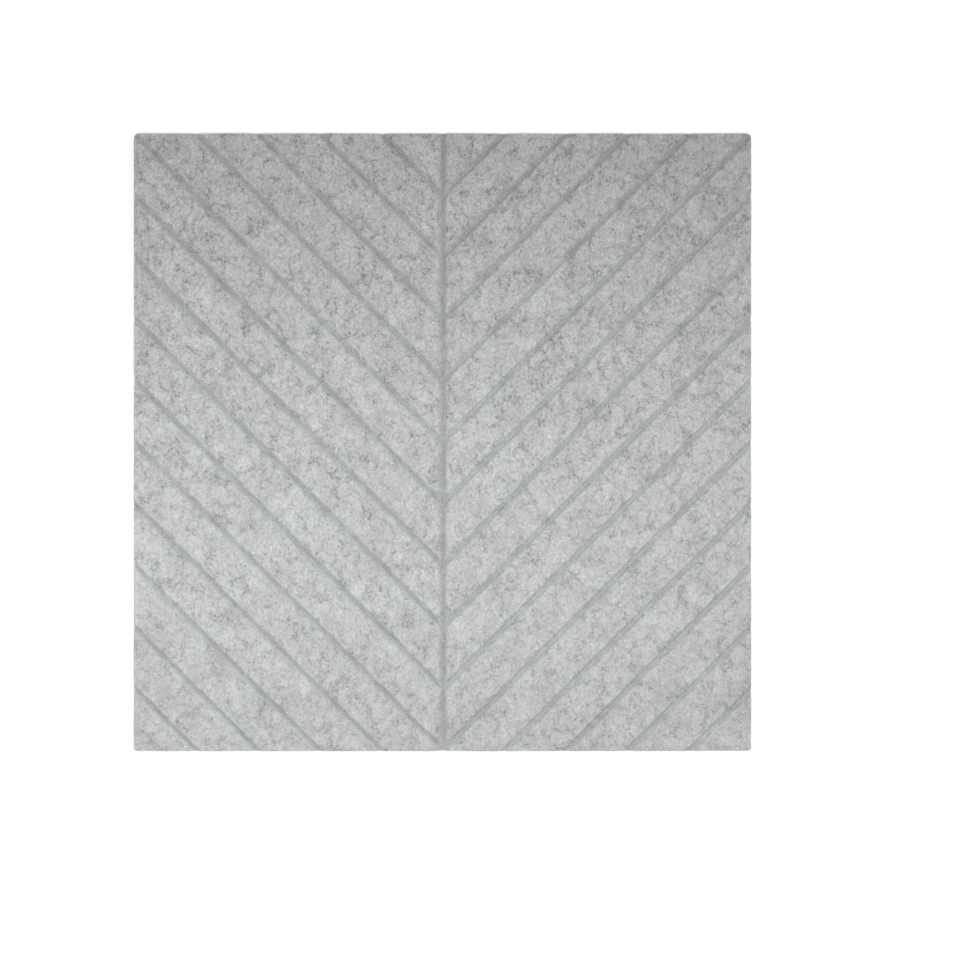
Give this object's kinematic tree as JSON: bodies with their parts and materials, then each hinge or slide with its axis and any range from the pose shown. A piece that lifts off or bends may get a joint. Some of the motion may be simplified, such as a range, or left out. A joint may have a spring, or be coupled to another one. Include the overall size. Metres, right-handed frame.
{
  "type": "acoustic panel",
  "caption": "Square board of light grey marled PET felt for sound absorption, its front face milled with V grooves in nested chevrons either side of a straight centre groove.",
  "frame": {"origin": "centre of the flat back face, on the floor under the middle of the panel", "axes": "+Z out of the grooved front face, +Y towards the top edge of the hung panel, +X to the right seen from the front; the chevrons point to -Y"},
  "size_m": [0.6, 0.6, 0.009],
  "materials": {
    "felt": "matt needle-punched felt, light grey marled with darker and paler fibres"
  },
  "bodies": {
    "root": {"felt_panel": "felt"}
  },
  "joints": []
}
